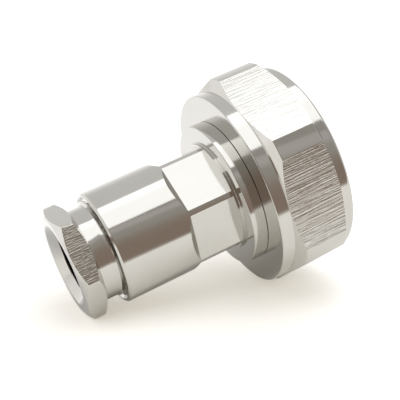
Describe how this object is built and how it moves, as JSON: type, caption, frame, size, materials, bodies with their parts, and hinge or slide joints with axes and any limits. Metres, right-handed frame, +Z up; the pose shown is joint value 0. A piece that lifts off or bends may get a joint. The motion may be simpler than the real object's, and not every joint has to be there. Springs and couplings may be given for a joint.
{
  "type": "coaxial connector plug",
  "caption": "Clamp-type coaxial plug with a large hexagonal screw coupling nut, flatted barrel and a hexagonal cable clamp nut.",
  "frame": {"origin": "middle of the footprint on the surface that the plug lies on", "axes": "+X along the plug towards its mating end, +Z up, the plug's own axis rising towards +X"},
  "size_m": [0.0468, 0.0326, 0.0358],
  "materials": {
    "plated_brass": "bright white-bronze plating over turned and milled brass",
    "spring_bronze": "bare spring bronze",
    "silver_plate": "silver plated, satin",
    "insulator": "waxy white fluoroplastic",
    "silicone_rubber": "matt red-orange silicone",
    "black_rubber": "matt black"
  },
  "bodies": {
    "housing": {"body": "plated_brass", "retaining_ring": "spring_bronze", "interface_seal": "silicone_rubber", "center_pin": "silver_plate", "front_insulator": "insulator", "rear_insulator": "insulator", "clamp_ferrule": "plated_brass", "cable_gasket": "black_rubber"},
    "coupling": {"coupling_nut": "plated_brass"},
    "washer": {"slip_washer": "plated_brass"},
    "clamp": {"clamp_nut": "plated_brass"}
  },
  "joints": [
    {"name": "coupling_turn", "type": "hinge", "parent": "housing", "child": "coupling", "pos_m": [0.00794, 0, 0.01643], "axis": [0.9571, 0, 0.2898], "continuous": true},
    {"name": "clamp_advance", "type": "slide", "parent": "housing", "child": "washer", "axis": [-0.9571, 0, -0.2898], "range_m": [0, 0.003]},
    {"name": "clamp_turn", "type": "hinge", "parent": "washer", "child": "clamp", "pos_m": [-0.01551, 0, 0.00932], "axis": [-0.9571, 0, -0.2898], "range_deg": [0, 1080]}
  ],
  "couplings": [
    {"joint": "clamp_advance", "follows": "clamp_turn", "m_per_rad": 0.00015915}
  ]
}
